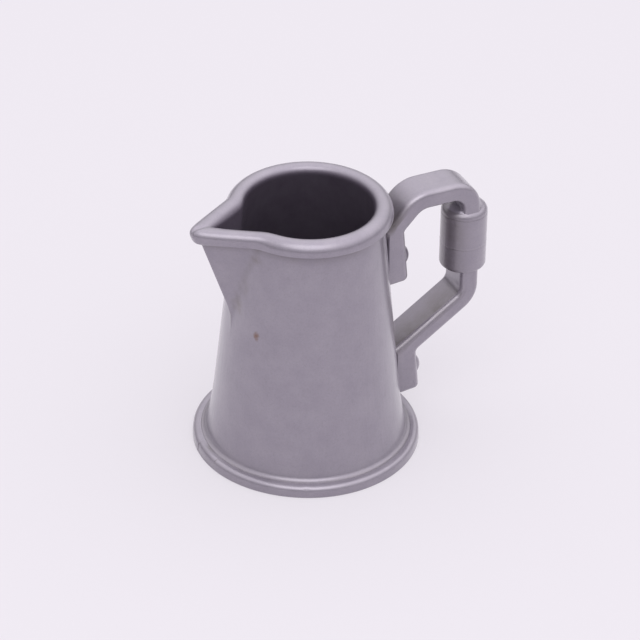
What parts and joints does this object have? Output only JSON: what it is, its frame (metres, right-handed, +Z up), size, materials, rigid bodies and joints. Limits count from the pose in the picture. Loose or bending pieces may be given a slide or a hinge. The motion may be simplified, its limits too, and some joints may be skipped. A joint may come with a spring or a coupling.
{
  "type": "toy coffee pot",
  "caption": "Small tapered toy coffee pot with a pinched pouring spout, rolled rim, stepped foot and a riveted strap handle with a round grip.",
  "frame": {"origin": "on the pot's own axis, at the flat underside that it stands on", "axes": "+Z up along the pot's axis, +X towards the handle, -X towards the spout, +Y to the left of someone who holds the handle and pours"},
  "size_m": [0.0281, 0.0198, 0.0238],
  "materials": {
    "silver_grey_plastic": "satin moulded plastic, silver-grey pigment"
  },
  "bodies": {
    "root": {"pot_shell": "silver_grey_plastic", "base_plate": "silver_grey_plastic", "handle_strap": "silver_grey_plastic", "grip_sleeve": "silver_grey_plastic", "upper_rivet": "silver_grey_plastic", "lower_rivet": "silver_grey_plastic"}
  },
  "joints": []
}
